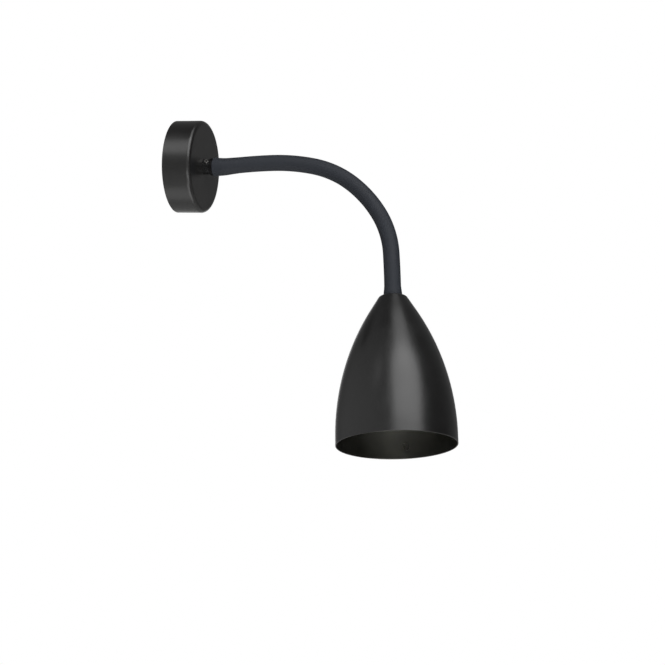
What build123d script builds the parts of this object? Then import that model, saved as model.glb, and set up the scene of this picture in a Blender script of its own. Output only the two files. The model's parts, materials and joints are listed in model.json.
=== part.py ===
from build123d import *
import os
from math import cos, pi, radians, sin, sqrt

# Gooseneck wall sconce: a drum canopy on the wall, a flexible neck in a rubber sleeve, and a bullet shade
# that hangs mouth down with its lamp inside. Millimetres. The origin is on the wall plane, at the centre of
# the canopy's back. +X points out from the wall and +Z up. The neck is bent in the XZ plane.

# ---------------------------------------------------------------- driving dimensions
CANOPY_R = 50.0
CANOPY_DEPTH = 31.35
CANOPY_FILLET = 4.6
CANOPY_WALL = 1.2
CANOPY_SCREW_X = 9.0
HOOK_X = 8.4  # tab inside the drum's bottom, which hooks into the bracket
HOOK_T = 1.2
HOOK_HALF = 3.5

BRACKET_T = 1.5
BRACKET_STRIP = 22.0
BRACKET_TOP = 47.8
WALL_SLOT_SPACING = 60.0
WALL_SLOT_LENGTH = 12.0
WALL_SLOT_WIDTH = 4.5
CABLE_ENTRY_R = 8.0

BUSHING_R = 8.3
BUSHING_END_X = 38.25
BUSHING_TAIL_R = 6.5
BUSHING_TAIL_X = 20.0
STEM_R = 4.8
STEM_START_X = 19.0
FLANGE_R = 9.35
SET_SCREW_X = 34.6
SET_SCREW_RISE = 20.0  # degrees up from level, on the -Y side

NECK_START_X = 41.35  # where the sleeve begins
NECK_LENGTH = 305.1  # along the centreline, to the top of the shade
NECK_LEAD = 8.0  # straight stretch inside the root fitting
LINKS = 19
LINK = NECK_LENGTH / LINKS
# The bend at rest: how many links, and how far each of them turns, in degrees (up is positive).
BENDS = [(1, 7.1), (3, -1.65), (3, -4.5), (3, -8.35), (3, -6.45), (3, -8.6), (2, -0.9), (1, 0.0)]

CONDUIT_R = 6.5
CONDUIT_BORE = 3.7
JOINT_BALL_R = 7.2  # rounded end of a link, centred on its pivot
JOINT_GAP = 0.3
SLEEVE_R = 8.65
SLEEVE_BORE = 6.8
SLEEVE_TIP_R = 9.75
SLEEVE_ROOT_R = 10.2
ROOT_SWELL_LINKS = 2  # the sleeve thins over this many links from its root
ROOT_SWELL_POWER = 1.5
FITTING_R = 7.3  # barrel of the end fittings, inside the sleeve's ends
CABLE_R = 2.7
CORE_R = 1.0

SHADE_R = 61.07
SHADE_LENGTH = 155.6
SHADE_LIP = 8.4  # straight stretch above the mouth
SHADE_ARC = 252.5  # radius of the bullet's side
SHADE_CONE = 31.5  # degrees off the axis, where the side runs straight to the top
SHADE_SHOULDER = 2.6
SHADE_WALL = 1.0

NIPPLE_R = 5.0
NIPPLE_BORE = 3.5
CLEAR = 0.05  # radial clearance of threads and of fixed fits

# Depths below the top of the shade, along its axis.
HOLDER_TOP = 7.0
HOLDER_CAP_END = 27.0
HOLDER_END = 62.0
HOLDER_R = 19.5
SHELL_TOP = 33.0
LAMP_CAP_TOP = 36.0
LAMP_CAP_END = 59.5
LAMP_CAP_R = 13.1
LAMP_GLOBE_R = 22.5
LAMP_TIP = 113.0

os.makedirs("parts", exist_ok=True)


def save(node, shape):
    """Write one node, in the sconce's own frame."""
    export_step(shape, f"parts/{node}.step")


def turned(points):
    """A ring turned about Z from its half outline, given as (radius, height) corners."""
    outline = Polyline(*[(r, 0, h) for r, h in points], close=True)
    return revolve(make_face(outline), Axis.Z)


def tube(outer, inner, low, high):
    """A plain tube about Z."""
    return turned([(inner, low), (outer, low), (outer, high), (inner, high)])


def rod(radius, low, high):
    """A round bar about Z."""
    return Pos(0, 0, low) * Cylinder(radius, high - low, align=(Align.CENTER, Align.CENTER, Align.MIN))


def block(low, high):
    """A box between two corners."""
    size = [abs(b - a) for a, b in zip(low, high)]
    middle = [(a + b) / 2 for a, b in zip(low, high)]
    return Pos(*middle) * Box(*size)


def hex_nut(across_flats, bore, low, high):
    """A hexagon nut about Z, with its outer corners eased by a cone at both faces."""
    corner_r = across_flats / sqrt(3)
    body = extrude(RegularPolygon(corner_r, 6), high - low)
    ease = chamfer(Cylinder(corner_r, high - low).edges().filter_by(GeomType.CIRCLE), 0.6)
    body = body & (Pos(0, 0, (high - low) / 2) * ease)
    return Pos(0, 0, low) * (body - rod(bore, -1, high - low + 1))


def screw(shank_r, shank_length, head_r, head_height):
    """A cross-recess pan screw about Z: the head sits on Z = 0 and the shank runs down."""
    head = rod(head_r, 0, head_height)
    head = fillet(head.edges().filter_by(GeomType.CIRCLE).sort_by(Axis.Z)[-1], head_height * 0.55)
    arm = head_r * 0.55
    slot = head_r * 0.2
    depth = head_height * 0.55
    for size_x, size_y in ((arm, slot), (slot, arm)):
        head -= block((-size_x, -size_y, head_height - depth), (size_x, size_y, head_height + 1))
    return head + rod(shank_r, -shank_length, 0)


def wire_along(points, radii, radius):
    """An insulated wire: straight runs joined by tangent arcs."""
    path = FilletPolyline(*points, radius=radii)
    start = Plane(origin=path @ 0, z_dir=path % 0)
    return sweep(start * Circle(radius), path=path)


# Seen along the wall's normal: local X is the sconce's Y, local Y is its Z, local Z is its X.
wall = Plane(origin=(0, 0, 0), x_dir=(0, 1, 0), z_dir=(1, 0, 0)).location


# ---------------------------------------------------------------- the neck's centreline
def link_runs():
    """For each link, its runs as (length, turn in degrees)."""
    turns = [turn for count, turn in BENDS for _ in range(count)]
    runs = [[(LINK, turn)] for turn in turns]
    runs[0] = [(NECK_LEAD, 0.0), (LINK - NECK_LEAD, turns[0])]
    return runs


def step(point, heading, length, turn):
    """The point reached after a run of constant curvature, and the heading there."""
    half = radians(turn) / 2
    chord = length if turn == 0 else length * sin(half) / half
    way = radians(heading) + half
    return point + Vector(chord * cos(way), 0, chord * sin(way)), heading + turn


def centreline():
    """The edges of each link, and the point and heading at each link's start and at the very end."""
    point, heading = Vector(NECK_START_X, 0, 0), 0.0
    edges, stations = [], [(point, heading)]
    for runs in link_runs():
        link_edges = []
        for length, turn in runs:
            middle, _ = step(point, heading, length / 2, turn / 2)
            end, heading = step(point, heading, length, turn)
            link_edges.append(ThreePointArc(point, middle, end) if turn else Line(point, end))
            point = end
        edges.append(link_edges)
        stations.append((point, heading))
    return edges, stations


link_edges, stations = centreline()
pivots = [point for point, _ in stations[1:-1]]
neck_end, end_heading = stations[-1]
head = Plane(
    origin=neck_end,
    x_dir=(0, 1, 0),
    z_dir=(cos(radians(end_heading)), 0, sin(radians(end_heading))),
).location


def along_neck(edges, outer, inner=0.0):
    """A round bar or tube that follows the given edges of the centreline."""
    path = Wire(edges)
    start = Plane(origin=path @ 0, x_dir=(0, 1, 0), z_dir=path % 0)
    section = start * Circle(outer)
    solid = sweep(section, path=path)
    if inner:
        solid -= sweep(start * Circle(inner), path=path)
    return solid


# ---------------------------------------------------------------- wall side
def wall_bracket():
    """Pressed steel cross with two slots for the wall screws. Its upper ear takes the canopy's screw, and
    the slot in its lower ear takes the canopy's hook."""
    half = BRACKET_STRIP / 2
    plate = block((-half, -BRACKET_TOP, 0), (half, BRACKET_TOP, BRACKET_T))
    plate += block((-31, -13, 0), (38, 13, BRACKET_T))
    plate = fillet(plate.edges().filter_by(Axis.Z), 3.0)
    slot_h = Rot(0, 0, 90) * SlotOverall(WALL_SLOT_LENGTH, WALL_SLOT_WIDTH)
    for side in (-1, 1):
        ear = block((-9, side * BRACKET_TOP, 0), (9, side * (BRACKET_TOP - BRACKET_T), 16))
        ear = fillet(ear.edges().filter_by(Axis.Y).group_by(Axis.Z)[-1], 4.0)
        plate += ear
        plate -= Pos(0, side * WALL_SLOT_SPACING / 2, -1) * extrude(slot_h, 4)
    plate -= Pos(0, BRACKET_TOP, CANOPY_SCREW_X) * Rot(90, 0, 0) * Cylinder(1.55, 8)
    plate -= block(
        (-HOOK_HALF - 0.4, -BRACKET_TOP - 1, HOOK_X - 0.3),
        (HOOK_HALF + 0.4, -BRACKET_TOP + 3, HOOK_X + HOOK_T + 0.3),
    )
    plate -= rod(CABLE_ENTRY_R, -1, 4)
    plate -= Pos(BLOCK_SCREW_Y, BLOCK_SCREW_Z, 0) * rod(1.55, -1, 4)
    plate -= Pos(EARTH_Y, 0, 0) * rod(2.05, -1, 4)
    return plate


def canopy_cup():
    """Drawn steel cup with a rounded front edge, open towards the wall, and a tab welded in its bottom."""
    outside = rod(CANOPY_R, 0, CANOPY_DEPTH)
    outside = fillet(outside.edges().sort_by(Axis.Z)[-1], CANOPY_FILLET)
    inside = rod(CANOPY_R - CANOPY_WALL, -1, CANOPY_DEPTH - CANOPY_WALL)
    inside = fillet(inside.edges().sort_by(Axis.Z)[-1], CANOPY_FILLET - CANOPY_WALL)
    cup = outside - inside - rod(BUSHING_TAIL_R + 0.1, 0, CANOPY_DEPTH + 1)
    cup += block(
        (-HOOK_HALF, -CANOPY_R + CANOPY_WALL / 2, HOOK_X),
        (HOOK_HALF, -BRACKET_TOP + 3, HOOK_X + HOOK_T),
    )
    return cup - Pos(0, CANOPY_R, CANOPY_SCREW_X) * Rot(90, 0, 0) * Cylinder(1.7, 8)


def canopy_screw():
    """Pan screw at the top of the drum."""
    return Pos(0, CANOPY_R + 0.02, CANOPY_SCREW_X) * Rot(-90, 0, 0) * screw(1.5, 6.5, 2.6, 1.4)


def bushing_hole_frame():
    """The set screw's own frame: Z points out of the bushing, away from its axis."""
    rise = radians(SET_SCREW_RISE)
    return Plane(origin=(0, 0, SET_SCREW_X), x_dir=(0, 0, 1), z_dir=(-cos(rise), sin(rise), 0)).location


def neck_bushing():
    """Turned collar: its threaded tail goes through the canopy, and its bore takes the neck's stem."""
    bushing = turned(
        [
            (STEM_R + CLEAR, BUSHING_TAIL_X),
            (BUSHING_TAIL_R, BUSHING_TAIL_X),
            (BUSHING_TAIL_R, CANOPY_DEPTH),
            (BUSHING_R, CANOPY_DEPTH),
            (BUSHING_R, BUSHING_END_X),
            (STEM_R + CLEAR, BUSHING_END_X),
        ]
    )
    rim = bushing.edges().filter_by(GeomType.CIRCLE).filter_by(lambda e: e.radius == BUSHING_R)
    bushing = chamfer(rim.sort_by(Axis.Z)[-1], 0.5)
    bushing -= bushing_hole_frame() * rod(2.0, 3, 12)
    return bushing - bushing_hole_frame() * rod(2.8, BUSHING_R - 0.5, 12)


def bushing_set_screw():
    """Socket screw that clamps the stem. Its head stands a little proud of the bushing."""
    head_r, head_top = 2.6, BUSHING_R + 1.3
    body = rod(2.0 - CLEAR, STEM_R + 0.15, BUSHING_R) + rod(head_r, BUSHING_R - 0.45, head_top)
    body = chamfer(body.edges().filter_by(GeomType.CIRCLE).sort_by(SortBy.DISTANCE)[-1], 0.3)
    body -= Pos(0, 0, head_top - 1.2) * extrude(RegularPolygon(1.25, 6), 2)
    return bushing_hole_frame() * body


def bushing_washer():
    """Toothed lock washer under the canopy's front."""
    teeth = 12
    washer = tube(9.2, BUSHING_TAIL_R + CLEAR, 0, 0.8)
    notch = block((8.0, -0.8, -1), (10, 0.8, 2))
    for i in range(teeth):
        washer -= Rot(0, 0, 360 / teeth * i) * notch
    return Pos(0, 0, CANOPY_DEPTH - CANOPY_WALL - 0.85) * washer


# ---------------------------------------------------------------- wiring behind the canopy
POLE_X = 8.0
POLE_PITCH = 9.0
POLE_Z = [-POLE_PITCH, 0.0, POLE_PITCH]
BLOCK_Y = (17.0, 35.0)
BLOCK_TOP = 14.5
TERMINAL_Y = (21.5, 30.5)
BLOCK_SCREW_Y = 26.0
BLOCK_SCREW_Z = POLE_PITCH / 2
EARTH_Y = -24.0
CABLE_END_X = 17.0
CORE_OFFSET = 1.2


def along_y(shape, z):
    """Stand a shape made about Z in one pole of the terminal block, along the sconce's Y."""
    return Pos(0, z, POLE_X) * Rot(0, 90, 0) * shape


def terminal_block():
    """Three-pole strip: a moulded body with a way through each pole and a well over each screw."""
    half = 1.5 * POLE_PITCH
    body = block((BLOCK_Y[0], -half, BRACKET_T + CLEAR), (BLOCK_Y[1], half, BLOCK_TOP))
    for z in (-POLE_PITCH / 2, POLE_PITCH / 2):
        for y_low, y_high in ((BLOCK_Y[0] - 1, 19.5), (32.5, BLOCK_Y[1] + 1)):
            body -= block((y_low, z - 0.8, 0), (y_high, z + 0.8, BLOCK_TOP + 1))
    for z in POLE_Z:
        body -= along_y(rod(2.15, BLOCK_Y[0] - 1, BLOCK_Y[1] + 1), z)
        for y in TERMINAL_Y:
            body -= Pos(y, z, 0) * rod(1.8, POLE_X, BLOCK_TOP + 1)
    return body - Pos(BLOCK_SCREW_Y, BLOCK_SCREW_Z, 0) * rod(1.6, 0, BLOCK_TOP + 1)


def terminal_tubes():
    """Three brass tubes, each with two tapped holes."""
    tubes = []
    for z in POLE_Z:
        pole = along_y(tube(2.1, 1.45, 18.2, 33.8), z)
        for y in TERMINAL_Y:
            pole -= Pos(y, z, 0) * rod(1.3, POLE_X, BLOCK_TOP)
        tubes.append(pole)
    return tubes


def terminal_screws():
    """Six short slotted screws, two to a pole."""
    one = rod(1.25, 0, 3.6) - block((-2, -0.25, 3.1), (2, 0.25, 4))
    return [Pos(y, z, POLE_X + CORE_R + 0.1) * one for z in POLE_Z for y in TERMINAL_Y]


def earth_lug():
    """Ring terminal: a flat ring, a tongue and a crimped barrel that holds the wire."""
    ring = tube(4.0, 2.15, 0, 0.8)
    ring += block((2.6, -1.6, 0), (7.0, 1.6, 0.8))
    barrel = Pos(0, 0, 2.0) * Rot(0, 90, 0) * tube(1.7, CORE_R + CLEAR, 5.5, 10.5)
    return Pos(EARTH_Y, 0, BRACKET_T + 0.02) * (ring + barrel)


def core_wire(offset_z, pole_z):
    """One core from the cable's end in the canopy to its pole."""
    points = [
        (CABLE_END_X - 0.02, 0, offset_z),
        (POLE_X, 0, offset_z),
        (POLE_X, 9, pole_z),
        (POLE_X, 23, pole_z),
    ]
    return wire_along(points, [4.0, 6.0], CORE_R)


def earth_wire():
    """Short lead from the third pole to the ring terminal on the bracket."""
    lug_x = BRACKET_T + 2.02
    points = [
        (POLE_X, 23, -POLE_PITCH),
        (POLE_X, 12, -POLE_PITCH),
        (4.5, 0, -POLE_PITCH),
        (lug_x, -9, 0),
        (lug_x, EARTH_Y + 6, 0),
    ]
    return wire_along(points, [8.0, 6.0, 6.0], CORE_R)


# ---------------------------------------------------------------- the neck
def neck_root_fitting():
    """Turned end piece: a stem in the bushing, a dark flange, and a cup round the conduit's end."""
    lead_end = NECK_START_X + NECK_LEAD - 0.4
    return turned(
        [
            (CABLE_R + 0.3, STEM_START_X),
            (STEM_R, STEM_START_X),
            (STEM_R, BUSHING_END_X + 0.2),
            (FLANGE_R, BUSHING_END_X + 0.2),
            (FLANGE_R, NECK_START_X - 0.15),
            (FITTING_R, NECK_START_X - 0.15),
            (FITTING_R, lead_end),
            (CONDUIT_R + CLEAR, lead_end),
            (CONDUIT_R + CLEAR, NECK_START_X + 2),
            (CABLE_R + 0.3, NECK_START_X + 2),
        ]
    )


def neck_conduit(i):
    """One length of the flexible conduit. It meets the next one in a ball-shaped gap round their pivot."""
    link = along_neck(link_edges[i], CONDUIT_R, CONDUIT_BORE)
    if i == 0:
        link -= wall * rod(CONDUIT_R + 1, NECK_START_X - 1, NECK_START_X + 2.1)
    else:
        link -= Pos(*pivots[i - 1]) * Sphere(JOINT_BALL_R + JOINT_GAP)
    if i == LINKS - 1:
        return link - head * rod(CONDUIT_R + 1, -6.1, 1)
    ahead = along_neck(link_edges[i + 1], CONDUIT_R, CONDUIT_BORE)
    return link + (ahead & (Pos(*pivots[i]) * Sphere(JOINT_BALL_R)))


def swollen_tip(length):
    """The sleeve's swollen tip about Z, from its end face at Z = 0 to where it is plain again."""
    bore = FITTING_R + 0.1
    edge = 0.8  # rounding of the end
    shade_of_edge = edge * (1 - cos(pi / 4))
    outline = [
        Line((bore, 0, 0), (SLEEVE_TIP_R - edge, 0, 0)),
        ThreePointArc(
            (SLEEVE_TIP_R - edge, 0, 0),
            (SLEEVE_TIP_R - shade_of_edge, 0, shade_of_edge),
            (SLEEVE_TIP_R, 0, edge),
        ),
        Spline(
            (SLEEVE_TIP_R, 0, edge),
            (SLEEVE_R, 0, length),
            tangents=[(-0.25, 0, 1), (0, 0, 1)],
        ),
        Line((SLEEVE_R, 0, length), (bore, 0, length)),
        Line((bore, 0, length), (bore, 0, 0)),
    ]
    return revolve(make_face(outline), Axis.Z)


def swollen_root():
    """The sleeve's root end, which thins slowly from its end face on."""
    edges = [edge for link in link_edges[:ROOT_SWELL_LINKS] for edge in link]
    path = Wire(edges)
    sections = []
    steps = 4 * ROOT_SWELL_LINKS
    for i in range(steps + 1):
        along = i / steps
        place = path.position_at(along * path.length, PositionMode.LENGTH)
        heading = path.tangent_at(along * path.length, PositionMode.LENGTH)
        swell = (SLEEVE_ROOT_R - SLEEVE_R) * (1 - along) ** ROOT_SWELL_POWER
        sections.append(Plane(origin=place, x_dir=(0, 1, 0), z_dir=heading) * Circle(SLEEVE_R + swell))
    root = loft(sections)
    root = fillet(root.edges().sort_by(Axis.X)[0], 0.8)
    root -= wall * rod(FITTING_R + 0.1, NECK_START_X - 1, NECK_START_X + NECK_LEAD)
    return root - along_neck(edges, SLEEVE_BORE)


def neck_sleeve():
    """Smooth rubber sleeve in one piece, swollen where it is drawn over the two end fittings."""
    runs = [edge for link in link_edges[ROOT_SWELL_LINKS:] for edge in link]
    tip = LINK - 2.0
    plain = along_neck(runs[:-1], SLEEVE_R, SLEEVE_BORE)
    root_end = swollen_root()
    tip_end = head * (Pos(0, 0, -0.1) * Rot(180, 0, 0) * swollen_tip(tip))
    bridge = head * tube(SLEEVE_R, SLEEVE_BORE, -LINK, -tip - 0.1)
    return plain + root_end + tip_end + bridge


def neck_cable():
    """Two-core cable, whole, from the canopy to the lampholder."""
    lead_in = Line((CABLE_END_X, 0, 0), (NECK_START_X, 0, 0))
    runs = [edge for link in link_edges for edge in link]
    down = Vector(cos(radians(end_heading)), 0, sin(radians(end_heading)))
    lead_out = Line(neck_end, neck_end + down * HOLDER_CABLE_END)
    return along_neck([lead_in] + runs + [lead_out], CABLE_R)


def neck_tip_fitting():
    """Turned end piece: a cup round the conduit's end, and a threaded hole for the nipple."""
    return turned(
        [
            (CONDUIT_R + CLEAR, -12.0),
            (FITTING_R, -12.0),
            (FITTING_R, -0.1),
            (NIPPLE_R + CLEAR, -0.1),
            (NIPPLE_R + CLEAR, -6.0),
            (CONDUIT_R + CLEAR, -6.0),
        ]
    )


# ---------------------------------------------------------------- shade and lampholder, depths down their axis
HOLDER_CABLE_END = 14.5
NIPPLE_TOP = -5.0
NIPPLE_END = 12.6


def bullet(inset):
    """The shade's half section as a solid of revolution, set in from its outer face. The mouth is at Z = 0."""
    lean = radians(SHADE_CONE)
    arc_centre_r = SHADE_R - SHADE_ARC
    arc = SHADE_ARC - inset
    mouth_r = SHADE_R - inset
    arc_end = (arc_centre_r + arc * cos(lean), SHADE_LIP + arc * sin(lean))
    arc_middle = (arc_centre_r + arc * cos(lean / 2), SHADE_LIP + arc * sin(lean / 2))
    # centre of the shoulder: SHADE_SHOULDER inside both the cone and the flat top
    reach = arc_centre_r * cos(lean) + SHADE_LIP * sin(lean) + SHADE_ARC - SHADE_SHOULDER
    shoulder_h = SHADE_LENGTH - SHADE_SHOULDER
    shoulder_r = (reach - shoulder_h * sin(lean)) / cos(lean)
    turn = SHADE_SHOULDER - inset
    cone_end = (shoulder_r + turn * cos(lean), shoulder_h + turn * sin(lean))
    turn_way = (lean + pi / 2) / 2
    turn_middle = (shoulder_r + turn * cos(turn_way), shoulder_h + turn * sin(turn_way))
    top_h = shoulder_h + turn

    def at(point):
        return (point[0], 0, point[1])

    outline = [
        Line((0, 0, 0), (mouth_r, 0, 0)),
        Line((mouth_r, 0, 0), (mouth_r, 0, SHADE_LIP)),
        ThreePointArc((mouth_r, 0, SHADE_LIP), at(arc_middle), at(arc_end)),
        Line(at(arc_end), at(cone_end)),
        ThreePointArc(at(cone_end), at(turn_middle), (shoulder_r, 0, top_h)),
        Line((shoulder_r, 0, top_h), (0, 0, top_h)),
        Line((0, 0, top_h), (0, 0, 0)),
    ]
    return revolve(make_face(outline), Axis.Z)


def shade():
    """Spun bullet shade with a soft edge at the mouth and a hole for the nipple in its flat top."""
    shell = bullet(0.0) - bullet(SHADE_WALL)
    mouth = shell.edges().filter_by(GeomType.CIRCLE).group_by(Axis.Z)[0]
    shell = fillet(mouth, 0.4)
    shell -= rod(NIPPLE_R + 0.15, SHADE_LENGTH - 5, SHADE_LENGTH + 1)
    return Pos(0, 0, SHADE_LENGTH) * Rot(180, 0, 0) * shell


def shade_nipple():
    """Hollow threaded tube that carries the shade and the lampholder."""
    return tube(NIPPLE_R, NIPPLE_BORE, NIPPLE_TOP, NIPPLE_END)


def holder_cap():
    """Domed top of the lampholder, with a threaded neck round the nipple."""
    dome = [
        Line((NIPPLE_R + CLEAR, 0, HOLDER_TOP), (8.0, 0, HOLDER_TOP)),
        Line((8.0, 0, HOLDER_TOP), (8.0, 0, 11.0)),
        Spline((8.0, 0, 11.0), (HOLDER_R, 0, 22.0), tangents=[(1, 0, 0.25), (0.08, 0, 1)]),
        Line((HOLDER_R, 0, 22.0), (HOLDER_R, 0, HOLDER_CAP_END)),
        Line((HOLDER_R, 0, HOLDER_CAP_END), (HOLDER_R - 1.6, 0, HOLDER_CAP_END)),
        Line((HOLDER_R - 1.6, 0, HOLDER_CAP_END), (HOLDER_R - 1.6, 0, 22.5)),
        Spline(
            (HOLDER_R - 1.6, 0, 22.5),
            (7.0, 0, 13.0),
            tangents=[(-0.08, 0, -1), (-1, 0, -0.2)],
        ),
        Line((7.0, 0, 13.0), (NIPPLE_R + CLEAR, 0, 13.0)),
        Line((NIPPLE_R + CLEAR, 0, 13.0), (NIPPLE_R + CLEAR, 0, HOLDER_TOP)),
    ]
    cap = revolve(make_face(dome), Axis.Z)
    return cap - Pos(0, 0, 9.0) * Rot(0, 90, 0) * rod(1.25, 0, 12)


def holder_lock_screw():
    """Grub screw in the cap's neck. It keeps the nipple from turning."""
    grub = rod(1.2, NIPPLE_R + 0.1, 8.3) - block((-0.25, -2, 7.7), (0.25, 2, 9))
    return Pos(0, 0, 9.0) * Rot(0, 90, 0) * grub


def holder_shell():
    """Skirt of the lampholder, screwed up to the cap, with a ribbed grip and an inward lip."""
    skirt = turned(
        [
            (HOLDER_R - 1.7, HOLDER_CAP_END - 3),
            (HOLDER_R - 1.7, HOLDER_CAP_END + 0.05),
            (HOLDER_R, HOLDER_CAP_END + 0.05),
            (HOLDER_R, HOLDER_CAP_END + 12),
            (HOLDER_R - 1.2, HOLDER_END),
            (15.2, HOLDER_END),
            (15.2, HOLDER_END - 1.5),
            (HOLDER_R - 3.2, HOLDER_END - 1.5),
            (HOLDER_R - 3.2, HOLDER_CAP_END - 3),
        ]
    )
    ribs = 30
    groove = Pos(HOLDER_R + 0.35, 0, 0) * rod(0.7, HOLDER_CAP_END + 2, HOLDER_CAP_END + 11)
    for i in range(ribs):
        skirt -= Rot(0, 0, 360 / ribs * i) * groove
    return skirt


def holder_insert():
    """Insulating core: a base for the contacts, and a wall round the screw shell."""
    core = turned(
        [
            (0, 21.0),
            (15.0, 21.0),
            (15.0, HOLDER_END - 3.5),
            (13.95, HOLDER_END - 3.5),
            (13.95, SHELL_TOP),
            (0, SHELL_TOP),
        ]
    )
    core -= block((-3.1, -3.0, 30.0), (3.1, 3.0, SHELL_TOP + 1))
    for side in (-1, 1):
        core -= Pos(side * 8, 0, 0) * rod(CORE_R + 0.15, 20, 27)
        core -= Pos(side * 8, 5.5, 0) * rod(1.5, 20, 26)
    return core


def holder_screw_shell():
    """Threaded contact that takes the lamp's cap."""
    return tube(13.9, 13.5, SHELL_TOP + 0.1, HOLDER_END - 4)


def holder_centre_contact():
    """Bent brass tongue that presses on the lamp's tip."""
    strip = Polyline((-2.8, 0, 30.1), (2.6, 0, 30.1), (2.6, 0, 30.6), (-2.2, 0, 30.6))
    strip += Polyline((-2.2, 0, 30.6), (1.6, 0, LAMP_CAP_TOP - 1.6), (1.6, 0, LAMP_CAP_TOP - 1.1))
    strip += Polyline((1.6, 0, LAMP_CAP_TOP - 1.1), (-2.8, 0, 31.1), (-2.8, 0, 30.1))
    tongue = extrude(make_face(strip), 2.2, both=True)
    return tongue


def holder_terminal_screws():
    """Two screws that clamp the cores."""
    return [Pos(side * 8, 5.5, 21.0 - 0.02) * Rot(180, 0, 0) * screw(1.4, 4.5, 2.4, 1.4) for side in (-1, 1)]


def holder_wires():
    """The cable's two cores, from its end to the insert."""
    wires = []
    for side in (-1, 1):
        points = [
            (side * CORE_OFFSET, 0, HOLDER_CABLE_END + 0.02),
            (side * CORE_OFFSET, 0, 16.6),
            (side * 8, 0, 19.4),
            (side * 8, 0, 25.5),
        ]
        wires.append(wire_along(points, [1.4, 1.9], CORE_R))
    return wires


# ---------------------------------------------------------------- the lamp
def bulb_cap():
    """Screw cap of the lamp, a thin drawn shell."""
    return turned(
        [
            (5.4, LAMP_CAP_TOP + 0.8),
            (10.5, LAMP_CAP_TOP + 2.6),
            (LAMP_CAP_R, LAMP_CAP_TOP + 4.2),
            (LAMP_CAP_R, LAMP_CAP_END),
            (LAMP_CAP_R - 0.5, LAMP_CAP_END),
            (LAMP_CAP_R - 0.5, LAMP_CAP_TOP + 4.5),
            (10.2, LAMP_CAP_TOP + 3.1),
            (5.4, LAMP_CAP_TOP + 1.4),
        ]
    )


def bulb_contact():
    """Centre contact of the lamp: a button."""
    button = rod(4.4, LAMP_CAP_TOP - 1.0, LAMP_CAP_TOP + 0.6)
    return fillet(button.edges().filter_by(GeomType.CIRCLE).sort_by(Axis.Z)[0], 0.8)


def bulb_insulator():
    """Ring that holds the button in the cap."""
    return tube(5.35, 4.45, LAMP_CAP_TOP - 0.2, LAMP_CAP_TOP + 1.5)


def globe_join():
    """Depth at which the lamp's body meets its globe, and the globe's centre."""
    centre = LAMP_TIP - LAMP_GLOBE_R
    return centre - 8.0, centre


def bulb_body():
    """Moulded neck of the lamp, from its cap to its globe."""
    join, centre = globe_join()
    join_r = sqrt(LAMP_GLOBE_R**2 - (centre - join) ** 2)
    outline = [
        Line((0, 0, LAMP_CAP_TOP + 8), (LAMP_CAP_R - 0.6, 0, LAMP_CAP_TOP + 8)),
        Line((LAMP_CAP_R - 0.6, 0, LAMP_CAP_TOP + 8), (LAMP_CAP_R - 0.6, 0, LAMP_CAP_END + 0.1)),
        Line((LAMP_CAP_R - 0.6, 0, LAMP_CAP_END + 0.1), (LAMP_CAP_R + 0.5, 0, LAMP_CAP_END + 0.1)),
        Line((LAMP_CAP_R + 0.5, 0, LAMP_CAP_END + 0.1), (LAMP_CAP_R + 0.5, 0, LAMP_CAP_END + 3.0)),
        Spline(
            (LAMP_CAP_R + 0.5, 0, LAMP_CAP_END + 3.0),
            (join_r, 0, join),
            tangents=[(0.2, 0, 1), (0.38, 0, 1)],
        ),
        Line((join_r, 0, join), (0, 0, join)),
        Line((0, 0, join), (0, 0, LAMP_CAP_TOP + 8)),
    ]
    return revolve(make_face(outline), Axis.Z)


def bulb_globe():
    """Opal globe of the lamp."""
    join, centre = globe_join()
    ball = Pos(0, 0, centre) * (Sphere(LAMP_GLOBE_R) - Sphere(LAMP_GLOBE_R - 1.0))
    return ball - rod(LAMP_GLOBE_R + 1, LAMP_CAP_END, join + 0.05)


# ---------------------------------------------------------------- the assembly
WALL_SIDE = {
    "wall_bracket": wall_bracket(),
    "canopy_cup": canopy_cup(),
    "canopy_screw": canopy_screw(),
    "neck_bushing": neck_bushing(),
    "bushing_set_screw": bushing_set_screw(),
    "bushing_washer": bushing_washer(),
    "bushing_lock_nut": hex_nut(17.0, BUSHING_TAIL_R + CLEAR, 25.2, CANOPY_DEPTH - CANOPY_WALL - 0.9),
    "terminal_block": terminal_block(),
    "terminal_tubes": Compound(terminal_tubes()),
    "terminal_screws": Compound(terminal_screws()),
    "terminal_block_screw": Pos(BLOCK_SCREW_Y, BLOCK_SCREW_Z, BLOCK_TOP + 0.02) * screw(1.5, 14.2, 2.7, 1.6),
    "earth_lug": earth_lug(),
    "earth_screw": Pos(EARTH_Y, 0, BRACKET_T + 0.85) * screw(2.0, 2.1, 3.8, 2.2),
    "neck_root_fitting": neck_root_fitting(),
}

NECK = {
    "wire_live": core_wire(CORE_OFFSET, POLE_Z[2]),
    "wire_neutral": core_wire(-CORE_OFFSET, POLE_Z[1]),
    "wire_earth": earth_wire(),
    "neck_cable": neck_cable(),
    "neck_sleeve": neck_sleeve(),
}
for i in range(LINKS):
    NECK[f"neck_conduit_{i + 1:02d}"] = neck_conduit(i)

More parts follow.
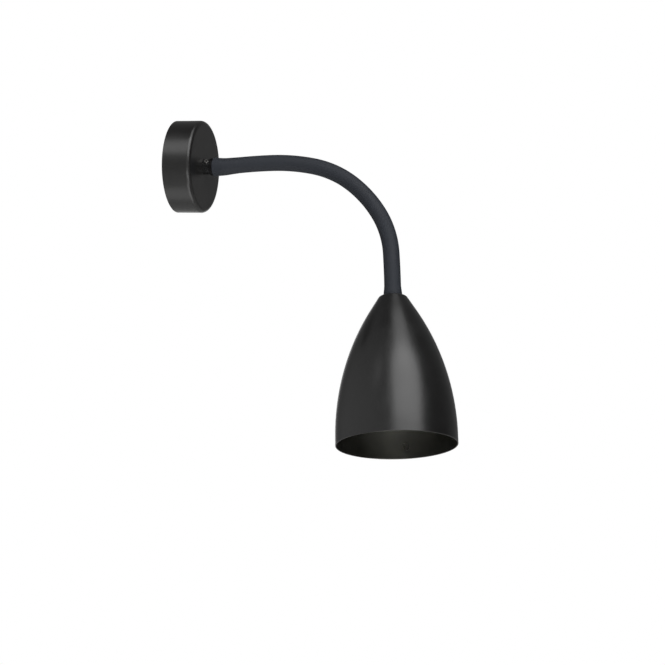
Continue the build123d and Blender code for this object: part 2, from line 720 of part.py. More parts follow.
SHADE_HEAD = {
    "neck_tip_fitting": neck_tip_fitting(),
    "shade_nipple": shade_nipple(),
    "shade": shade(),
    "shade_washer": tube(8.4, NIPPLE_R + 0.1, SHADE_WALL + 0.02, SHADE_WALL + 1.0),
    "shade_nut": hex_nut(14.0, NIPPLE_R + CLEAR, SHADE_WALL + 1.05, SHADE_WALL + 4.6),
    "holder_cap": holder_cap(),
    "holder_lock_screw": holder_lock_screw(),
    "holder_shell": holder_shell(),
    "holder_insert": holder_insert(),
    "holder_screw_shell": holder_screw_shell(),
    "holder_centre_contact": holder_centre_contact(),
    "holder_terminal_screws": Compound(holder_terminal_screws()),
    "holder_wires": Compound(holder_wires()),
    "bulb_cap": bulb_cap(),
    "bulb_contact": bulb_contact(),
    "bulb_insulator": bulb_insulator(),
    "bulb_body": bulb_body(),
    "bulb_globe": bulb_globe(),
}

for node, shape in WALL_SIDE.items():
    save(node, wall * shape)
for node, shape in NECK.items():
    save(node, shape)
for node, shape in SHADE_HEAD.items():
    save(node, head * shape)

print(f"neck ends at x {neck_end.X:.2f}, z {neck_end.Z:.2f}, heading {end_heading:.2f} degrees")
print("pivots, mm:", [(round(p.X, 3), round(p.Z, 3)) for p in pivots])
print("headings at the pivots:", [round(h, 2) for _, h in stations[1:-1]])
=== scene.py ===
# %% [markdown]
# # A gooseneck wall sconce
# The lamp hangs on a wall by a small black drum, the canopy. A flexible neck in a smooth rubber sleeve leaves
# the drum through a bushing, and carries a black bullet shade that points down. The engineer's model gives
# every rigid piece at its real size, in metres, with +X out of the wall and +Z up. This lesson dresses that
# model: it adds the finishes, makes the soft pieces again as chains of short lengths, and sets up the studio.

# %% Load the engineer's model
import json
from math import atan, cos, degrees, pi, radians, sin

import bpy
from mathutils import Matrix, Vector


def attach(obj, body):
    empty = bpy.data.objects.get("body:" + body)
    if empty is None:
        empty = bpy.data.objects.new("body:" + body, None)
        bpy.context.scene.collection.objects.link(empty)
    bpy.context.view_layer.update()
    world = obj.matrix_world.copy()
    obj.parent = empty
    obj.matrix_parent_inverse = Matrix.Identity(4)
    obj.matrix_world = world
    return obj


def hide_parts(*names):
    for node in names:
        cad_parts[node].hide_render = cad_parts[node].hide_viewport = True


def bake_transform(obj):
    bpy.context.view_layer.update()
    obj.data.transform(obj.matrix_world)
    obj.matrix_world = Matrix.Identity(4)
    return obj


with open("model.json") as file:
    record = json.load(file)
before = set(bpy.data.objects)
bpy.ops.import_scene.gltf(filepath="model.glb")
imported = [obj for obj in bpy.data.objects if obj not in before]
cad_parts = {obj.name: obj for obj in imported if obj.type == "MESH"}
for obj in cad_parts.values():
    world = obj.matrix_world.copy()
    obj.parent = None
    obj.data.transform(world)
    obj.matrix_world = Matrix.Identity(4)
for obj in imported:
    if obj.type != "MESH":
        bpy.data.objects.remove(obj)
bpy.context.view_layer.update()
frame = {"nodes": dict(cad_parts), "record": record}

# %% [markdown]
# ## The camera
# The photograph looks slightly up at the lamp from its right side, and a little from in front. The lens and
# the place were worked out from the outlines of the drum, the neck and the shade. The camera is given by the
# direction from the lamp back to it, its distance, and a small roll, because that is how a photographer would
# describe it.

# %% Point the camera as in the photograph
AIM = Vector((0.193917, 0.0, -0.184972))
DISTANCE = 1.5
AZIMUTH, ELEVATION, ROLL = radians(15.203), radians(-16.554), radians(6.013)
FOCAL_LENGTH_PIXELS, PICTURE_PIXELS = 1460.11, 665
SENSOR_WIDTH = 36
NEAREST, FARTHEST = 0.05, 60

back = Vector((sin(AZIMUTH) * cos(ELEVATION), -cos(AZIMUTH) * cos(ELEVATION), sin(ELEVATION)))
level_right = Vector((0, 0, 1)).cross(back).normalized()
level_up = back.cross(level_right)
right = level_right * cos(ROLL) + level_up * sin(ROLL)
up = level_up * cos(ROLL) - level_right * sin(ROLL)

camera = bpy.data.objects.new("camera", bpy.data.cameras.new("camera"))
bpy.context.scene.collection.objects.link(camera)
camera_turn = Matrix((right, up, back)).transposed().to_4x4()
camera.matrix_world = Matrix.Translation(AIM + back * DISTANCE) @ camera_turn
camera.data.sensor_width = SENSOR_WIDTH
camera.data.lens = FOCAL_LENGTH_PIXELS / PICTURE_PIXELS * SENSOR_WIDTH
camera.data.clip_start, camera.data.clip_end = NEAREST, FARTHEST
bpy.context.scene.camera = camera
print("lens, mm:", round(camera.data.lens, 2))

# %% [markdown]
# ## The studio
# A small product hangs before a white sheet, over a pale floor, under large soft lamps. Black satin paint
# shows little colour of its own: it is drawn by what it mirrors. So the light is planned as directions around
# the lamp, counted from the camera: so many degrees round to the right, and so many degrees up.

# %% Directions counted from the camera
scene = bpy.context.scene
scene.view_settings.view_transform = "Standard"


def from_camera(round_right, above):
    """The direction that lies so many degrees to the right of the camera, and above it."""
    level = back * cos(radians(round_right)) + right * sin(radians(round_right))
    return level * cos(radians(above)) + up * sin(radians(above))


print("left of the camera:", [round(v, 2) for v in from_camera(-90, 0)])

# %% [markdown]
# The room is a world shader. It could be evenly grey, but then every edge of the paint would turn grey too.
# So it is paler at the left and near the camera, and darker at the right, which gives the shade its dark
# right flank. The level in a direction is a middle value plus a slope, for which the direction is multiplied
# with an arrow that points to the pale side. A picture of a studio could do the same, but an arrow and a
# level are easier to tune. A second, weaker slope keeps the far side grey, which the drum's flat face
# mirrors.


# %% Nodes, and the room's light
def wire_up(tree, from_node, output, to_node, entry):
    """Join one node's output to another's input."""
    tree.links.new(from_node.outputs[output], to_node.inputs[entry])


def sums(tree, operation, first, output, second):
    """A math node that takes another node's output and a plain number."""
    node = tree.nodes.new("ShaderNodeMath")
    node.operation = operation
    node.inputs[1].default_value = second
    wire_up(tree, first, output, node, 0)
    return node


ROOM_DARKEST = 0.02
PALE_SIDE, PALE_LEVEL = right * -0.80 + back * 0.31 + up * -0.02, -0.12
FAR_SIDE, FAR_LEVEL = back * -0.20, 0.0


def slope(tree, looking, arrow, level):
    """A level that rises in the direction of an arrow."""
    along = tree.nodes.new("ShaderNodeVectorMath")
    along.operation = "DOT_PRODUCT"
    along.inputs[1].default_value = arrow
    wire_up(tree, looking, "Generated", along, 0)
    return sums(tree, "ADD", along, "Value", level)


room = bpy.data.worlds.new("studio_room")
room.use_nodes = True
scene.world = room
tree = room.node_tree
looking = tree.nodes.new("ShaderNodeTexCoord")
brighter = sums(tree, "MAXIMUM", slope(tree, looking, PALE_SIDE, PALE_LEVEL), 0, 0.0)
wire_up(tree, slope(tree, looking, FAR_SIDE, FAR_LEVEL), 0, brighter, 1)
floored = sums(tree, "MAXIMUM", brighter, 0, ROOM_DARKEST)
wire_up(tree, floored, 0, tree.nodes["Background"], "Strength")
tree.nodes["Background"].inputs["Color"].default_value = (1, 1, 1, 1)
print("the room is brightest at:", round(PALE_LEVEL + PALE_SIDE.length, 2))

# %% [markdown]
# The lamp also needs something around it: a wide floor well below, on which its shadow can fall, and a square
# white sheet behind it.


# %% A floor and a white sheet
def flat_sheet(name, middle, across, upward, half_size):
    """A flat square round its middle, spanned by two directions."""
    corners = [(-1, -1), (1, -1), (1, 1), (-1, 1)]
    points = [middle + (across * u + upward * v) * half_size for u, v in corners]
    mesh = bpy.data.meshes.new(name)
    mesh.from_pydata(points, [], [(0, 1, 2, 3)])
    sheet = bpy.data.objects.new(name, mesh)
    scene.collection.objects.link(sheet)
    return sheet


SHEET_BEHIND, SHEET_HALF = 6.0, 1.85
FLOOR_MIDDLE, FLOOR_HALF = Vector((0.2, 0, -1.6)), 40
floor = flat_sheet("studio_floor", FLOOR_MIDDLE, Vector((1, 0, 0)), Vector((0, 1, 0)), FLOOR_HALF)
backdrop = flat_sheet("studio_backdrop", AIM - back * SHEET_BEHIND, right, up, SHEET_HALF)
print("the sheet spans, degrees:", round(2 * degrees(atan(SHEET_HALF / SHEET_BEHIND)), 1))

# %% [markdown]
# The sheet has to look white. More lamps on it would also light the lamp's own edges, so the sheet glows
# instead, at a strength of one, and only for rays that come straight from the camera, from a gloss or through
# glass. It stands far back and is only as large as the picture needs, because paint that mirrors much of a
# white sheet looks grey. The floor gets a quarter of such a glow on top of its own shading, so it stays pale
# from every side and still takes the shadow.


# %% Paint for the floor and the sheet
def new_material(name):
    """An empty node material: returns it with its node tree and its shader."""
    material = bpy.data.materials.new(name)
    material.use_nodes = True
    tree = material.node_tree
    return material, tree, tree.nodes["Principled BSDF"]


def seen_only(tree):
    """One for the rays that show a background: from the camera, from a gloss, or through glass."""
    rays = tree.nodes.new("ShaderNodeLightPath")
    either = sums(tree, "MAXIMUM", rays, "Is Camera Ray", 0.0)
    wire_up(tree, rays, "Is Glossy Ray", either, 1)
    any_of_them = sums(tree, "MAXIMUM", either, 0, 0.0)
    wire_up(tree, rays, "Is Transmission Ray", any_of_them, 1)
    return any_of_them


FLOOR_GLOW = 0.25
STAGE_ROUGHNESS = 0.9
floor_paint, tree, shader = new_material("floor_paint")
shader.inputs["Roughness"].default_value = STAGE_ROUGHNESS
shader.inputs["Base Color"].default_value = (0.86, 0.86, 0.85, 1)
shader.inputs["Emission Color"].default_value = (1, 1, 0.99, 1)
wire_up(tree, sums(tree, "MULTIPLY", seen_only(tree), 0, FLOOR_GLOW), 0, shader, "Emission Strength")
floor.data.materials.append(floor_paint)

sheet_white, tree, shader = new_material("sheet_white")
shader.inputs["Roughness"].default_value = STAGE_ROUGHNESS
shader.inputs["Base Color"].default_value = (0.9, 0.9, 0.9, 1)
glow = tree.nodes.new("ShaderNodeEmission")
choose = tree.nodes.new("ShaderNodeMixShader")
wire_up(tree, seen_only(tree), 0, choose, 0)
wire_up(tree, shader, 0, choose, 1)
wire_up(tree, glow, 0, choose, 2)
wire_up(tree, choose, 0, tree.nodes["Material Output"], "Surface")
backdrop.data.materials.append(sheet_white)
print("stage:", floor.name, backdrop.name)

# %% [markdown]
# ## The lamps
# Each soft lamp is a rectangle that faces the middle of the part. A row in the list gives its name, how far
# it stands to the right and above, its distance, width and height, and its level, which is its own
# brightness, where one is paper white. The high lamp stands to the right and draws the long soft streak down
# the shade, and the weaker top lamp carries that streak on to the shade's flat top. The strip in front fills
# the lower edge, and the low lamp shines up into the shade's mouth and on the globe inside.


# %% Soft lamps
def aimed(name, kind, target, away, distance):
    """A lamp at a distance from its target, which looks at it."""
    light = bpy.data.lights.new(name, kind)
    lamp = bpy.data.objects.new(name, light)
    lamp.location = target + away * distance
    lamp.rotation_mode = "QUATERNION"
    lamp.rotation_quaternion = away.to_track_quat("Z", "Y")
    lamp.visible_camera = False
    scene.collection.objects.link(lamp)
    return lamp


def soft_lamp(name, round_right, above, distance, width, height, level):
    """A rectangular lamp that faces the aim point."""
    lamp = aimed(name, "AREA", AIM, from_camera(round_right, above), distance)
    lamp.data.shape = "RECTANGLE"
    lamp.data.size, lamp.data.size_y = width, height
    lamp.data.energy = level * pi * width * height


SOFT_LAMPS = [
    ("high_lamp", 27, 45, 2.0, 1.9, 1.7, 3.7),
    ("top_lamp", 55, 74, 2.0, 0.92, 1.3, 1.9),
    ("front_strip", 15, -25, 2.0, 2.1, 0.8, 2.8),
    ("low_lamp", 4, -70, 1.15, 1.3, 0.7, 2.0),
]
for numbers in SOFT_LAMPS:
    soft_lamp(*numbers)
print("soft lamps:", [numbers[0] for numbers in SOFT_LAMPS])

# %% [markdown]
# The drum shows two narrow streaks along its side, one above and one below the neck, that the shade doesn't
# share. So two small round lamps, each in a tube that keeps its light on the drum, stand where the paint
# mirrors them. A streak on a drum lies where the surface faces midway between the camera and the lamp, so the
# lamp's place is found by turning from the camera's side of the drum to the streak, and as far again.


# %% Two snooted lamps for the drum's streaks
SNOOT_SOFTNESS = 0.3
DRUM_MIDDLE = Vector((0.016, 0, 0))


def snooted_lamp(name, target, away, distance, radius, cone, level):
    """A round lamp whose tube keeps its light in a cone."""
    lamp = aimed(name, "SPOT", target, away, distance)
    lamp.data.shadow_soft_size = radius
    lamp.data.spot_size = radians(cone)
    lamp.data.spot_blend = SNOOT_SOFTNESS
    lamp.data.energy = level * (2 * pi * radius) ** 2


def streak_lamp(name, streak_angle, level):
    """A snooted lamp whose reflection lies on the drum's side at an angle above the line nearest the camera."""
    nearest = Vector((0, back.y, back.z)).normalized()
    facing = Matrix.Rotation(-radians(streak_angle), 3, "X") @ nearest
    mirrored = facing * (2 * facing.dot(back)) - back
    snooted_lamp(name, DRUM_MIDDLE, mirrored, distance=0.5, radius=0.16, cone=45, level=level)


streak_lamp("upper_streak_lamp", streak_angle=21.5, level=1.9)
streak_lamp("lower_streak_lamp", streak_angle=-37, level=0.85)

# %% [markdown]
# A third one stands under the shade and shines up its axis, on the end of the globe. The shade leans a
# little, so the direction is that of its axis, which runs on from the neck's end.

# %% A snooted lamp under the shade
SHADE_TOP = Vector((0.25373, 0, -0.14562))
SHADE_LEAN = radians(-83.35)
MOUTH_DEPTH = 0.15
shade_axis = Vector((cos(SHADE_LEAN), 0, sin(SHADE_LEAN)))
mouth = SHADE_TOP + shade_axis * MOUTH_DEPTH
snooted_lamp("mouth_lamp", mouth, shade_axis, distance=0.6, radius=0.02, cone=5, level=850)
print("the shade's axis:", [round(v, 3) for v in shade_axis])

# %% [markdown]
# ## How a finish is mixed
# No real surface is one flat colour. Every finish here starts from the same three things: a colour that
# drifts a little from place to place, a roughness that drifts with it, and a fine relief. All of them come
# from noise that is laid out in the lamp's own space, so nothing needs unwrapping, and the grain has its real
# size on each piece, whatever the piece's shape. Such noise hardly leaves the middle of its range, so the two
# colours and the two roughnesses are set for the ends of that middle.


# %% One recipe for mottled finishes
NOISE_LOW, NOISE_HIGH = 0.3, 0.7
RELIEF_STRENGTH = 0.5


def grain(tree, scale, detail=3.0):
    """Noise in the lamp's own space. A scale of 1000 gives specks of about a millimetre."""
    place = tree.nodes.new("ShaderNodeTexCoord")
    noise = tree.nodes.new("ShaderNodeTexNoise")
    noise.inputs["Scale"].default_value = scale
    noise.inputs["Detail"].default_value = detail
    wire_up(tree, place, "Object", noise, "Vector")
    return noise


def tint(tree, shader, pattern, dark, light, low=NOISE_LOW, high=NOISE_HIGH):
    """Colour the shader between two shades by a pattern."""
    ramp = tree.nodes.new("ShaderNodeValToRGB")
    first, last = ramp.color_ramp.elements
    first.position, first.color = low, (*dark, 1)
    last.position, last.color = high, (*light, 1)
    wire_up(tree, pattern, "Fac", ramp, "Fac")
    wire_up(tree, ramp, "Color", shader, "Base Color")


def polish(tree, shader, pattern, smooth, dull):
    """Let the roughness drift between two values."""
    drift = tree.nodes.new("ShaderNodeMapRange")
    drift.inputs["From Min"].default_value, drift.inputs["From Max"].default_value = NOISE_LOW, NOISE_HIGH
    drift.inputs["To Min"].default_value, drift.inputs["To Max"].default_value = smooth, dull
    wire_up(tree, pattern, "Fac", drift, "Value")
    wire_up(tree, drift, "Result", shader, "Roughness")


def relief(tree, shader, pattern, depth):
    """Raise the surface by a pattern, with its depth in metres."""
    bump = tree.nodes.new("ShaderNodeBump")
    bump.inputs["Distance"].default_value = depth
    bump.inputs["Strength"].default_value = RELIEF_STRENGTH
    wire_up(tree, pattern, "Fac", bump, "Height")
    wire_up(tree, bump, "Normal", shader, "Normal")


def mottled(name, dark, light, drift_scale, smooth, dull, grain_scale, depth, metal=0.0, gloss=0.5):
    """A finish with drifting colour and roughness, and a fine relief."""
    material, tree, shader = new_material(name)
    clouds = grain(tree, drift_scale)
    tint(tree, shader, clouds, dark, light)
    polish(tree, shader, clouds, smooth, dull)
    relief(tree, shader, grain(tree, grain_scale, detail=2.0), depth)
    shader.inputs["Metallic"].default_value = metal
    shader.inputs["Specular IOR Level"].default_value = gloss
    return material


print("noise is read between", NOISE_LOW, "and", NOISE_HIGH)

# %% [markdown]
# ## Satin black paint
# The drum and the shade are steel under a baked satin black. Such a coat has a faint orange peel: soft bumps
# about a millimetre apart and some thousandths of a millimetre high, which blur whatever the coat mirrors.
# The inside of the shade has a dark graphite lacquer with a metal sheen, so what shows there is the white
# globe, mirrored dimly in the far wall.

# %% Mix the paints
SATIN = {"drift_scale": 60, "smooth": 0.28, "dull": 0.33, "grain_scale": 900, "depth": 0.00001}
GRAPHITE = {"drift_scale": 40, "smooth": 0.27, "dull": 0.31, "grain_scale": 900, "depth": 0.000004}
canopy_paint = mottled("canopy_satin_black", (0.0078, 0.0076, 0.0075), (0.0095, 0.0093, 0.0091), **SATIN)
shade_paint = mottled("shade_satin_black", (0.0078, 0.0078, 0.0078), (0.0095, 0.0095, 0.0095), **SATIN)
inside_paint = mottled(
    "shade_inside_graphite", (0.215, 0.213, 0.195), (0.245, 0.243, 0.222), metal=1.0, **GRAPHITE
)
print("paints:", canopy_paint.name, shade_paint.name, inside_paint.name)

# %% [markdown]
# ## Rubber
# The sleeve is smooth moulded rubber, matt and slate grey. Rubber picks up a bloom, a pale film that lies
# unevenly, so its colour drifts slowly along the neck, and the skin has a very fine grain.

# %% Mix the rubber
RUBBER = {"drift_scale": 35, "smooth": 0.62, "dull": 0.74, "grain_scale": 2600, "depth": 0.00002}
sleeve_rubber = mottled(
    "sleeve_slate_rubber", (0.0152, 0.0176, 0.0235), (0.0190, 0.0220, 0.0285), gloss=0.3, **RUBBER
)
print("rubber:", sleeve_rubber.name)

# %% [markdown]
# ## Metals and plastics of the small pieces
# Screws and fittings near the neck are blackened. Hidden hardware is zinc plated or plain brass. The
# lampholder and the terminal block are moulded, and the lamp has an opal globe on a white neck. They all come
# from the one recipe, so they stand in one table: two colours, the scale of their drift, two roughnesses, the
# scale of the grain, its height, whether the finish is a metal, and the gloss of the two that are very dark.

# %% Mix the rest
FINISHES = {"canopy_paint": canopy_paint, "shade_paint": shade_paint, "sleeve_rubber": sleeve_rubber}
TABLE = {
    "bushing_black": ((0.004, 0.004, 0.0045), (0.007, 0.007, 0.0075), 90, 0.3, 0.38, 900, 0.000004, 0, 0.3),
    "fitting_black": ((0.003, 0.0025, 0.003), (0.005, 0.0045, 0.005), 90, 0.4, 0.5, 900, 0.000004, 0, 0.15),
    "black_screw": ((0.14, 0.136, 0.132), (0.20, 0.195, 0.19), 200, 0.2, 0.3, 1500, 0.000004, 1),
    "zinc_steel": ((0.52, 0.53, 0.54), (0.66, 0.66, 0.65), 400, 0.25, 0.4, 2500, 0.00001, 1),
    "conduit_steel": ((0.4, 0.41, 0.42), (0.52, 0.52, 0.53), 500, 0.3, 0.45, 3000, 0.00002, 1),
    "brass": ((0.62, 0.45, 0.2), (0.74, 0.57, 0.28), 300, 0.2, 0.38, 2500, 0.00001, 1),
    "tinned_copper": ((0.6, 0.59, 0.57), (0.72, 0.71, 0.69), 500, 0.25, 0.4, 2500, 0.00001, 1),
    "terminal_plastic": ((0.74, 0.73, 0.68), (0.82, 0.81, 0.77), 200, 0.4, 0.55, 1800, 0.00001, 0),
    "holder_plastic": ((0.02, 0.02, 0.021), (0.03, 0.03, 0.031), 300, 0.35, 0.5, 1800, 0.00002, 0),
    "holder_ceramic": ((0.78, 0.77, 0.72), (0.85, 0.84, 0.8), 120, 0.12, 0.25, 900, 0.00001, 0),
    "cable_jacket": ((0.68, 0.68, 0.66), (0.76, 0.76, 0.74), 200, 0.5, 0.62, 2000, 0.00001, 0),
    "wire_brown": ((0.16, 0.07, 0.03), (0.22, 0.1, 0.045), 400, 0.35, 0.45, 2500, 0.00001, 0),
    "wire_blue": ((0.03, 0.11, 0.38), (0.05, 0.16, 0.48), 400, 0.35, 0.45, 2500, 0.00001, 0),
    "bulb_cap_nickel": ((0.62, 0.61, 0.6), (0.72, 0.71, 0.7), 400, 0.18, 0.3, 2500, 0.00001, 1),
    "bulb_insulator_black": ((0.012, 0.012, 0.012), (0.02, 0.02, 0.02), 400, 0.15, 0.25, 2500, 0.00001, 0),
    "bulb_plastic": ((0.8, 0.8, 0.79), (0.86, 0.86, 0.85), 150, 0.35, 0.45, 1500, 0.00001, 0),
}
for slot, numbers in TABLE.items():
    FINISHES[slot] = mottled(slot, *numbers)
print("finishes:", len(FINISHES))

# %% [markdown]
# The earth wire is green with a yellow stripe, so it can't be mistaken. A wave across the wire's length, cut
# hard in the middle, gives the stripe. The globe is opal: it is white all through, so light sinks in and
# spreads before it comes out again.

# %% The striped wire and the opal globe
STRIPES, STRIPE_EDGES = 120, (0.48, 0.52)
GREEN, YELLOW = (0.03, 0.22, 0.03), (0.7, 0.6, 0.03)
GLOBE_SKIN = {"drift_scale": 80, "smooth": 0.22, "dull": 0.3, "grain_scale": 1200, "depth": 0.00001}
GLOBE_DEPTH = (0.004, 0.004, 0.0035)
striped, tree, shader = new_material("wire_green_yellow")
place = tree.nodes.new("ShaderNodeTexCoord")
bands = tree.nodes.new("ShaderNodeTexWave")
bands.bands_direction = "DIAGONAL"
bands.inputs["Scale"].default_value = STRIPES
wire_up(tree, place, "Object", bands, "Vector")
tint(tree, shader, bands, GREEN, YELLOW, *STRIPE_EDGES)
polish(tree, shader, grain(tree, 400), smooth=0.35, dull=0.45)
FINISHES["wire_green_yellow"] = striped

opal = mottled("lamp_opal", (0.9, 0.9, 0.88), (0.94, 0.94, 0.92), **GLOBE_SKIN)
opal_shader = opal.node_tree.nodes["Principled BSDF"]
opal_shader.inputs["Subsurface Weight"].default_value = 0.6
opal_shader.inputs["Subsurface Radius"].default_value = GLOBE_DEPTH
opal_shader.inputs["Subsurface Scale"].default_value = 1.0
FINISHES["bulb_opal"] = opal
print("finishes:", len(FINISHES))

# %% [markdown]
# Every piece of the model names a slot, which says what the piece is made of. So the finishes are handed out
# by slot: two pieces of the same stuff look the same, and a new piece is dressed as soon as it names its
# slot.

# %% Give every piece of the model its finish
for entry in frame["record"]["subparts"]:
    node = frame["nodes"][entry["node"]]
    node.data.materials.clear()
    node.data.materials.append(FINISHES[entry["material_slot"]])
    for face in node.data.polygons:
        face.material_index = 0

# %% [markdown]
# The shade is one spun sheet, sprayed first inside and then outside. Both sides belong to one piece, so the
# piece gets two paints. A face is on the inside where it looks towards the shade's heart, a point on its axis
# in the middle of the hollow.

# %% Paint the inside of the shade
HEART_DEPTH = 0.075
shade_heart = SHADE_TOP + shade_axis * HEART_DEPTH
shade = frame["nodes"]["shade"]
shade.data.materials.append(inside_paint)
for face in shade.data.polygons:
    face.material_index = int(face.normal.dot(shade_heart - face.center) > 0)
print("faces inside:", sum(face.material_index for face in shade.data.polygons))

# %% [markdown]
# ## The neck's line
# Sleeve and cable follow one line: a short straight lead, then gentle arcs that turn the neck from level to
# nearly straight down. The rigid links inside meet at 18 pivots, evenly spaced along it, and a list gives
# each link's turn in degrees. Walking along the line in tiny steps, and turning a little at each, gives a
# point and a heading at any distance.

# %% Walk along the neck
LEAD_START = 0.04135
LEAD = 0.008
NECK_LENGTH, LINKS = 0.3051, 19
LINK = NECK_LENGTH / LINKS
LINK_TURNS = [7.1] + [-1.65] * 3 + [-4.5] * 3 + [-8.35] * 3 + [-6.45] * 3 + [-8.6] * 3 + [-0.9] * 2 + [0.0]
NECK_END = LINKS * LINK
STEP = 0.0001


def bend_rate(distance):
    """How fast the neck turns there, in radians per metre."""
    if distance < LEAD:
        return 0.0
    link = min(int(distance / LINK), LINKS - 1)
    run = LINK - LEAD if link == 0 else LINK
    return radians(LINK_TURNS[link]) / run


def neck_line():
    """Points and headings along the neck, one for each step."""
    points, headings = [Vector((LEAD_START, 0, 0))], [0.0]
    for i in range(round(NECK_END / STEP)):
        turn = bend_rate((i + 0.5) * STEP) * STEP
        way = headings[-1] + turn / 2
        points.append(points[-1] + Vector((cos(way), 0, sin(way))) * STEP)
        headings.append(headings[-1] + turn)
    return points, headings


LINE_POINTS, LINE_HEADINGS = neck_line()


def on_neck(distance):
    """The point and the heading at a distance along the neck, which runs straight on past its two ends."""
    inside = min(max(distance, 0.0), NECK_END)
    i = min(round(inside / STEP), len(LINE_POINTS) - 1)
    way = Vector((cos(LINE_HEADINGS[i]), 0, sin(LINE_HEADINGS[i])))
    return LINE_POINTS[i] + way * (distance - i * STEP), LINE_HEADINGS[i]


print("neck ends at", [round(v, 4) for v in on_neck(NECK_END)[0]])

# %% [markdown]
# ## The rubber sleeve
# The sleeve is one tube, swollen at both ends where it is drawn over the fittings. A piece that bends can
# only join two bodies, and the neck has twenty, so the sleeve is made as a chain of short lengths. Each runs
# from the middle of one link to the middle of the next, across the pivot between them. Their rings
# meet exactly at a link's middle.


# %% A tube made ring by ring
def tube(name, profile, sides):
    """A round piece along the neck. The profile lists its rings as (distance along the neck, radius)."""
    points, faces = [], []
    for distance, radius in profile:
        middle, heading = on_neck(distance)
        upward = Vector((-sin(heading), 0, cos(heading)))
        for s in range(sides):
            turn = 2 * pi * s / sides
            points.append(middle + (Vector((0, 1, 0)) * cos(turn) + upward * sin(turn)) * radius)
    for k in range(len(profile) - 1):
        for s in range(sides):
            a, b = k * sides + s, k * sides + (s + 1) % sides
            faces.append((a, a + sides, b + sides, b))
    mesh = bpy.data.meshes.new(name)
    mesh.from_pydata(points, [], faces)
    mesh.shade_smooth()
    piece = bpy.data.objects.new(name, mesh)
    scene.collection.objects.link(piece)
    return piece


def evenly(start, end, rings, radius_at):
    """A profile of evenly spaced rings, with the radius taken from a function of the distance."""
    distances = [start + (end - start) * k / rings for k in range(rings + 1)]
    return [(distance, radius_at(distance)) for distance in distances]


print("three rings on a link of the neck:", evenly(0.0, LINK, 2, lambda distance: 0.005))

# %% [markdown]
# At the drum the sleeve is drawn over the wide root fitting, and thins slowly over the next two links. At the
# shade its swollen end is short. Both end edges are rounded. A function gives the radius at any distance, so
# the same outline serves every length, however many rings it has.

# %% The sleeve's outline
SLEEVE_R = 0.00865
SLEEVE_BORE = 0.0074
ROOT_SWELL = 0.00155
ROOT_SWELL_LENGTH = 2 * LINK
ROOT_SWELL_POWER = 1.5
TIP_SWELL = 0.0011
TIP_SWELL_LENGTH = LINK - 0.002
SLEEVE_END = NECK_END - 0.0001
EDGE = 0.0008


def sleeve_radius(distance):
    """Plain in the middle, swollen towards both ends, with a rounded edge at each."""
    from_edge = min(distance, SLEEVE_END - distance)
    if distance < ROOT_SWELL_LENGTH:
        swollen = SLEEVE_R + ROOT_SWELL * (1 - distance / ROOT_SWELL_LENGTH) ** ROOT_SWELL_POWER
    elif from_edge < TIP_SWELL_LENGTH:
        share = 1 - from_edge / TIP_SWELL_LENGTH
        swollen = SLEEVE_R + TIP_SWELL * share * share * (3 - 2 * share)
    else:
        return SLEEVE_R
    inset = max(EDGE - from_edge, 0.0)
    return swollen - EDGE + max(EDGE * EDGE - inset * inset, 0.0) ** 0.5


print("sleeve radii, mm:", [round(1000 * sleeve_radius(d), 2) for d in (0.0, 0.002, 0.016, 0.1, SLEEVE_END)])

# %% [markdown]
# The lengths in between are laid in place along the neck's line, one across each pivot.


# %% A chain of lengths across the pivots
BODIES = [f"neck_{i:02d}" for i in range(1, LINKS)] + ["shade_head"]
MIDDLES = [(i + 0.5) * LINK for i in range(LINKS)]


def finished(piece, slot, node):
    """Give a piece its finish, and hide the model's piece of the given node."""
    piece.data.materials.append(FINISHES[slot])
    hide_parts(node)


def chain(name, slot, node, radius_at, root_profile, tip_profile, sides, rings):
    """Lengths of a tube, one across each pivot, with a still length at both ends."""
    root = tube(f"{name}_root", root_profile, sides)
    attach(root, BODIES[0])
    finished(root, slot, node)
    for k in range(LINKS - 1):
        piece = tube(f"{name}_{k + 1:02d}", evenly(MIDDLES[k], MIDDLES[k + 1], rings, radius_at), sides)
        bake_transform(piece)
        finished(piece, slot, node)
    tip = tube(f"{name}_tip", tip_profile, sides)
    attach(tip, BODIES[18])
    finished(tip, slot, node)


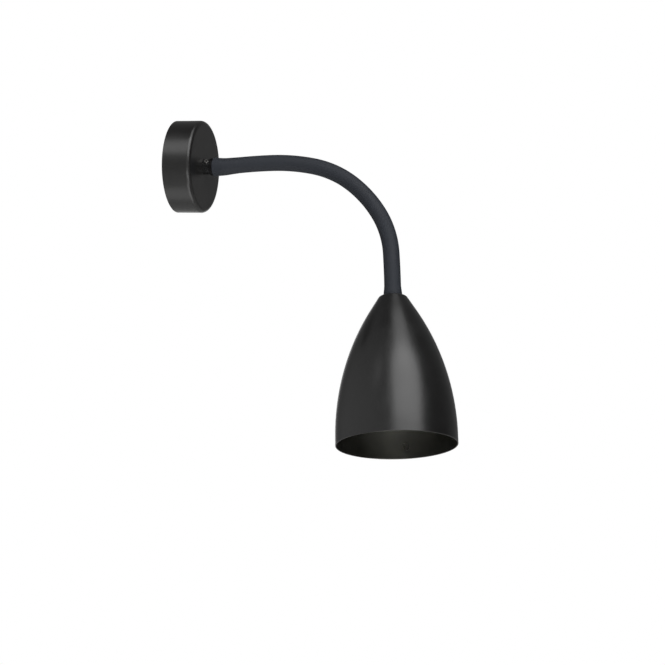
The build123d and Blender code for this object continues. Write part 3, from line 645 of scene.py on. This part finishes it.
print("bodies along the neck:", len(BODIES))

# %% [markdown]
# The first and the last length lie still on one body each. They have closer rings, for their rounded edges,
# and their outline turns in at the end and runs back along the bore, so the rubber shows its thickness.

# %% Draw the sleeve over the neck
END_RINGS = 28
sleeve_root = [(LEAD, SLEEVE_BORE), (0.0, SLEEVE_BORE)]
sleeve_root += evenly(0.0, MIDDLES[0], END_RINGS, sleeve_radius)
sleeve_tip = evenly(MIDDLES[-1], SLEEVE_END, END_RINGS, sleeve_radius)
sleeve_tip += [(SLEEVE_END, SLEEVE_BORE), (NECK_END - LEAD, SLEEVE_BORE)]
chain("sleeve", "sleeve_rubber", "neck_sleeve", sleeve_radius, sleeve_root, sleeve_tip, sides=64, rings=14)
print("sleeve, mm:", round(1000 * SLEEVE_END, 1))

# %% [markdown]
# ## The cable
# A soft two-core cable runs inside the whole neck, from the terminals behind the drum to the lampholder. It
# follows the neck's line, so it is a chain too. Its first stretch runs through the bushing, from inside the
# drum to the start of the neck.

# %% Lay the cable through the neck
CABLE_R = 0.0027
CABLE_START_X = 0.017
TWIST_START_X, TWIST_END_X = 0.020, 0.040
CABLE_END = NECK_END + 0.0145
CABLE_SIDES = 16


def cable_radius(distance):
    """The cable is equally thick all along."""
    return CABLE_R


cable_root = evenly(TWIST_END_X - LEAD_START, MIDDLES[0], rings=8, radius_at=cable_radius)
cable_tip = evenly(MIDDLES[-1], CABLE_END, rings=12, radius_at=cable_radius) + [(CABLE_END, 0.0)]
chain("cable", "cable_jacket", "neck_cable", cable_radius, cable_root, cable_tip, CABLE_SIDES, rings=6)
cable_start, twist_end = CABLE_START_X - LEAD_START, TWIST_END_X - LEAD_START
twist_profile = [(cable_start, 0.0)] + evenly(cable_start, twist_end, rings=24, radius_at=cable_radius)
twist = tube("cable_twist", twist_profile, CABLE_SIDES)
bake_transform(twist)
finished(twist, "cable_jacket", "neck_cable")
print("cable, mm:", round(1000 * (CABLE_END - cable_start), 1))
